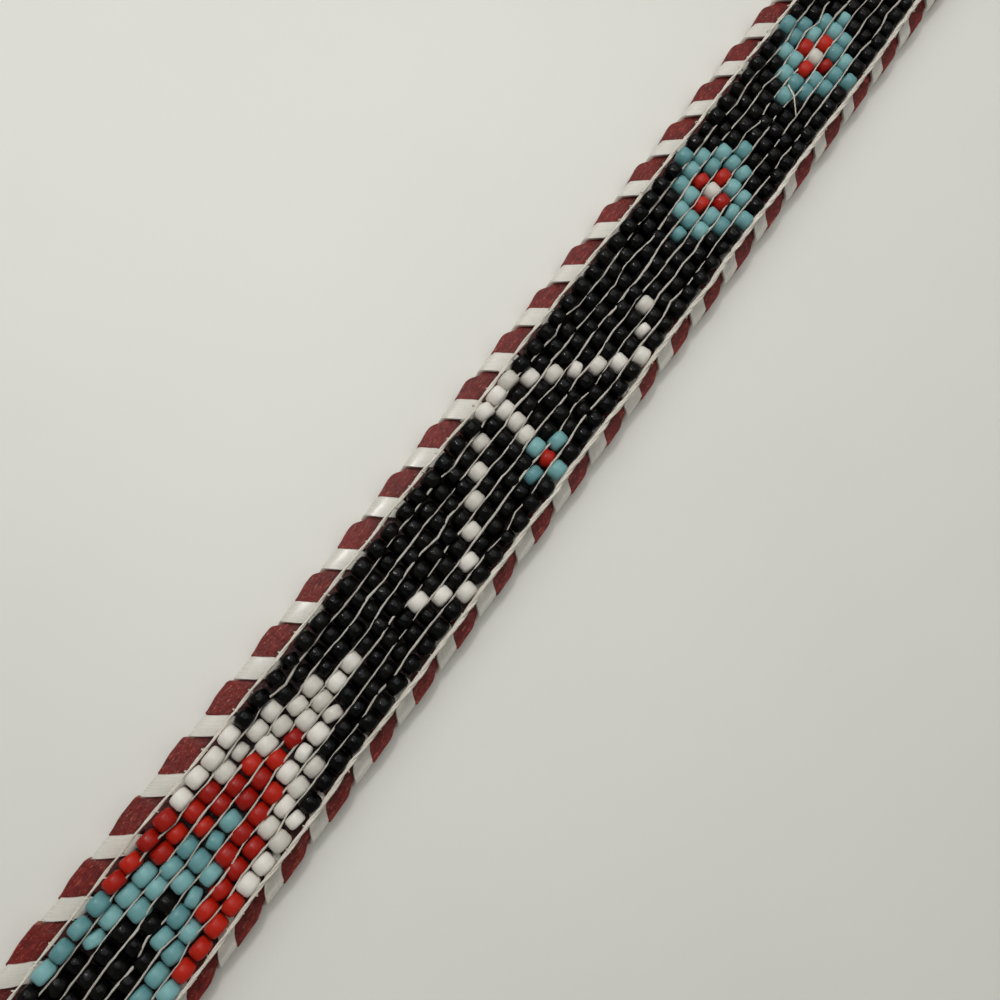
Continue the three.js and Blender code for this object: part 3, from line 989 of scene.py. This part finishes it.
def leather():
    finish = Finish("red_leather", IOR=1.48, Specular_IOR_Level=0.3)
    flat = finish.unrolled()
    depth = finish.attribute("depth")
    clear_of_painted_shade = finish.attribute("clear_of_painted_shade")
    grain_side = depth.step(0.72, 0.98)
    flesh_side = (depth * -1).step(0.7, 0.95)
    pebbles = finish.cells(flat, 0.45 * MM, "SMOOTH_F1")
    fine = finish.noise(flat, 0.2 * MM, detail=3, roughness=0.6)
    streaks = finish.noise(finish.unrolled((1, 1.6, 1)), 1.1 * MM, detail=4, roughness=0.65)
    scratches = finish.noise(finish.unrolled((0.5, 2, 1)), 0.55 * MM, detail=3, roughness=0.7)
    fibres = finish.noise(finish.unrolled((1, 6, 1)), 0.7 * MM, detail=4, roughness=0.65)
    cloud = finish.noise(flat, 5 * MM, detail=4)
    tone = (cloud * 0.35 + streaks * 0.65).step(0.3, 0.72)
    dye = finish.mix(tone, *DYE)
    # Pale flecks that are partly painted sheen and partly fine light scratches
    sheen_and_scratch_marks = (fine * 0.3 + scratches * 0.7).step(0.53, 0.67)
    with_sheen_and_scratches = finish.mix(sheen_and_scratch_marks * 0.6, dye, SHEEN_AND_SCRATCH_TINT)
    # Painted shade: the leather under the beads turns near black, standing in for the shadow there
    with_painted_shade = finish.mix(clear_of_painted_shade, PAINTED_SHADE_UNDER_BEADS, with_sheen_and_scratches)
    bare = finish.mix(fibres.step(0.3, 0.7), *CUT_EDGE)
    flesh = finish.mix(fibres.step(0.25, 0.75), *FLESH)
    cut = finish.mix(grain_side, bare, with_painted_shade)
    finish.feed("Base Color", finish.mix(flesh_side, cut, flesh))
    finish.feed("Roughness", fine * 0.22 + (0.8 - 0.46 * grain_side))
    height = (pebbles * 0.4 + fine * 0.3 + streaks * 0.5) * grain_side + fibres * (1 - grain_side)
    finish.relief(height, GRAIN_RELIEF)
    return finish.material


finished(make_strap(), "leather_belt", leather(), "leather_strap")


# %% [markdown]
# ## The lacing
# The lace is a flat strip as well, so it is swept: at each step along its path a thin rounded section is set
# square to the path's bend and joined to the last. The section's long side always lies along the belt, and it
# travels along as it winds round, which makes the leaning edges of each turn.


# %% Plastic lace
def lace_finish():
    finish = Finish("white_lace", IOR=1.5, Coat_Weight=0.2, Coat_Roughness=0.3)
    along = finish.unrolled((0.35, 9, 1))
    streak = finish.noise(along, 1.2 * MM, detail=3)
    cloud = finish.noise(finish.place(), 4 * MM, detail=3)
    grime = finish.noise(finish.place(), 0.5 * MM, detail=3, roughness=0.6)
    tone = (streak * 0.12 + cloud * 0.6 + grime * 0.3).step(0.2, 0.85)
    finish.feed("Base Color", finish.mix(tone, rgb(197, 192, 180), rgb(213, 209, 199)))
    finish.feed("Roughness", streak * 0.15 + 0.2)
    finish.relief(streak * 0.2 + cloud * 0.8, 0.04 * MM)
    return finish.material


LACE_WHITE = lace_finish()

# %% Sweep the lace
LACE_SMOOTHING = 3
TURN_WANDER = 0.12 * MM
COVER_SPREAD = 0.02
MOST_SLACK = 0.05 * MM
DRIFT_GONE = 0.9              # share of the pitch at which a turn has lost its drift and slack
LAST_KNOTS = 3                # the last turn ends as it comes up through its slit
# The section's outline, as shares of half its width and half its depth, with its outer face a little fuller
LACE_SECTION = [(-1, -0.45), (-1, 0.45), (-0.94, 0.95), (-0.4, 1.1), (0.4, 1.1), (0.94, 0.95), (1, 0.45), (1, -0.45),
                (0.94, -1), (-0.94, -1)]


def lace_knots(dice, side):
    """The places that one whole lace passes, from the far end of the belt back to the buckle."""
    lines = {"slit": SLIT_Y, "edge": habit(side, "pinched")}
    knots = []
    for slit_x in reversed(slit_places(side)):
        drift = habit(side, "drift") * hand_swing(side, slit_x) + dice.gauss(0, TURN_WANDER)
        cover = lace_cover(side, slit_x) * dice.gauss(1, COVER_SPREAD)
        slack = dice.uniform(0, MOST_SLACK)
        for line, out, level, height, travel, share in LACE_TURN:
            fade = math.sin(math.pi * min(travel / DRIFT_GONE, 1))
            x = slit_x - STITCH_PITCH * travel + drift * fade
            knots.append((x, lines[line] + out * MM + slack * fade, LEVELS[level] + height * MM, cover * share))
    return np.array(knots[:LAST_KNOTS - len(LACE_TURN)])


def through(knots, steps):
    """A smooth curve through the knots."""
    padded = np.vstack([knots[0], knots, knots[-1]])
    rows = []
    for i in range(1, len(padded) - 2):
        a, b, c, d = padded[i - 1:i + 3]
        for t in np.arange(steps) / steps:
            curve = 2 * b + (c - a) * t
            curve = curve + (2 * a - 5 * b + 4 * c - d) * t**2
            curve = curve + (3 * b - a - 3 * c + d) * t**3
            rows.append(0.5 * curve)
    rows.append(padded[-2])
    return np.array(rows)


def sweep_lace(name, side, seed):
    rows = through(lace_knots(random.Random(seed), side), LACE_SMOOTHING)
    tangent = np.gradient(rows[:, 1:3], axis=0)
    tangent /= np.linalg.norm(tangent, axis=1, keepdims=True)
    outward = np.column_stack([-tangent[:, 1], tangent[:, 0]])
    run = np.concatenate([[0], np.cumsum(np.linalg.norm(np.diff(rows[:, :3], axis=0), axis=1))])
    points = []
    flat = []
    for (x, out, z, cover), (lift_out, lift_z), length in zip(rows, outward, run):
        for along, deep in LACE_SECTION:
            half = LACE_DEPTH / 2 * deep
            points.append((x + along * cover / 2, side * (out + lift_out * half), z + lift_z * half))
            flat.append((length, along * cover / 2))
    size = len(LACE_SECTION)
    faces = [tuple(range(size))[::-1], tuple(range(len(points) - size, len(points)))]
    for i in range(len(rows) - 1):
        for j in range(size):
            near, far = i * size + j, i * size + (j + 1) % size
            faces.append((near, far, far + size, near + size))
    mesh = bpy.data.meshes.new(name)
    mesh.from_pydata(points, [], faces)
    unroll_map(mesh, np.array(flat))
    lace = bpy.data.objects.new(name, mesh)
    bpy.context.scene.collection.objects.link(lace)
    return lace


def point_out(piece):
    start_clean()
    bpy.context.view_layer.objects.active = piece
    bpy.ops.object.mode_set(mode="EDIT")
    bpy.ops.mesh.select_all(action="SELECT")
    bpy.ops.mesh.normals_make_consistent(inside=False)
    bpy.ops.object.mode_set(mode="OBJECT")


for side, name, seed in ((1, "lacing_left", 21), (-1, "lacing_right", 22)):
    lace = sweep_lace(name, side, seed)
    point_out(lace)
    shade(lace, 50)
    finished(lace, f"lace_{name.split('_')[1]}", LACE_WHITE, name)

# %% [markdown]
# ## Metal
# The buckle lies outside the photograph, so it is a plain one: a bent rod with a tongue. The frame already has
# its shape, and only the finish is new, a satin nickel with the fine scratches of use.


# %% Nickel
def nickel():
    finish = Finish("satin_nickel", Metallic=1.0)
    brushed = finish.noise(finish.place((1, 8, 8)), 1.2 * MM, detail=4, roughness=0.6)
    haze = finish.noise(finish.place(), 5 * MM, detail=3)
    finish.feed("Base Color", finish.mix(haze, rgb(176, 173, 166), rgb(206, 204, 198)))
    finish.feed("Roughness", brushed * 0.2 + haze * 0.12 + 0.16)
    finish.relief(brushed, 0.02 * MM)
    return finish.material


NICKEL = nickel()
for node in ("buckle", "strap_rivet"):
    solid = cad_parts[node]
    solid.data.materials.clear()
    solid.data.materials.append(NICKEL)

# %% [markdown]
# ## Table, light and camera
# The belt lies on a plain pale table. A ring of large room lights, stronger towards the picture's top, fills the
# shadows. A wide ceiling light makes the table's fall-off, and a small lamp at the upper left makes the glints on
# the glass. So the shadow falls softly to the right. The camera hangs close above, leaning along the belt.

# %% The table
TABLE_SIZE = 12
start_clean()
bpy.ops.mesh.primitive_plane_add(size=TABLE_SIZE)
table = bpy.context.object
table.name = "table"
paper = Finish("table_top", Roughness=0.55)
speckle = paper.noise(paper.place(), 60 * MM, detail=4)
paper.feed("Base Color", paper.mix(speckle, rgb(214, 213, 205), rgb(222, 221, 214)))
table.data.materials.append(paper.material)


# %% Lights
VIEW_MIDDLE = Vector((-109, -3, 0)) * MM
PHOTO_UP = Vector((0.805, 0.593, 0))
PHOTO_LEFT = Vector((-0.593, 0.805, 0))
ROOM_LIGHTS = 6
# In metres and watts: places by the picture's own directions, sizes and powers
ROOM = {"reach": 0.9, "height": 0.75, "size": 0.9, "power": 0.57, "swing": 0.8, "strongest": 0.2}
CEILING = {"up": 0.18, "left": 0.03, "height": 0.38, "size": 0.5, "power": 0.98}
LAMP = {"up": 0.1, "left": 0.09, "height": 0.3, "size": 0.025, "power": 0.19}
WORLD_COLOUR = (1, 1, 0.97, 1)
WORLD_STRENGTH = 0.22


def soft_light(name, place, size, power):
    """A round light that faces the middle of the view."""
    start_clean()
    bpy.ops.object.light_add(type="AREA", location=place)
    light = bpy.context.object
    light.name = name
    light.data.shape = "DISK"
    light.data.size = size
    light.data.energy = power
    light.rotation_euler = (VIEW_MIDDLE - place).to_track_quat("-Z", "Y").to_euler()


def over_view(up, left, height):
    """A place above the middle of the view, by the picture's own directions."""
    return VIEW_MIDDLE + up * PHOTO_UP + left * PHOTO_LEFT + Vector((0, 0, height))


for share in range(ROOM_LIGHTS):
    angle = math.tau * share / ROOM_LIGHTS
    place = over_view(ROOM["reach"] * math.cos(angle), ROOM["reach"] * math.sin(angle), ROOM["height"])
    power = ROOM["power"] * (1 + ROOM["swing"] * math.cos(angle - ROOM["strongest"]))
    soft_light(f"room_{share}", place, ROOM["size"], power)
for name, light in (("ceiling", CEILING), ("lamp", LAMP)):
    place = over_view(light["up"], light["left"], light["height"])
    soft_light(name, place, light["size"], light["power"])
world = bpy.data.worlds.new("room_light")
bpy.context.scene.world = world
world.use_nodes = True
background = world.node_tree.nodes["Background"]
background.inputs["Color"].default_value = WORLD_COLOUR
background.inputs["Strength"].default_value = WORLD_STRENGTH
bpy.context.scene.view_settings.view_transform = "Standard"

# %% The camera
CAMERA_PLACE = Vector((-142.7, -1.5, 142.4)) * MM
CAMERA_TURN = (10.436, -8.554, -53.562)
SENSOR = 36
LENS = 36
NEAREST = 10 * MM
start_clean()
bpy.ops.object.camera_add(location=CAMERA_PLACE, rotation=[math.radians(angle) for angle in CAMERA_TURN])
camera = bpy.context.object
camera.data.sensor_width = SENSOR
camera.data.lens = LENS
camera.data.clip_start = NEAREST
bpy.context.scene.camera = camera
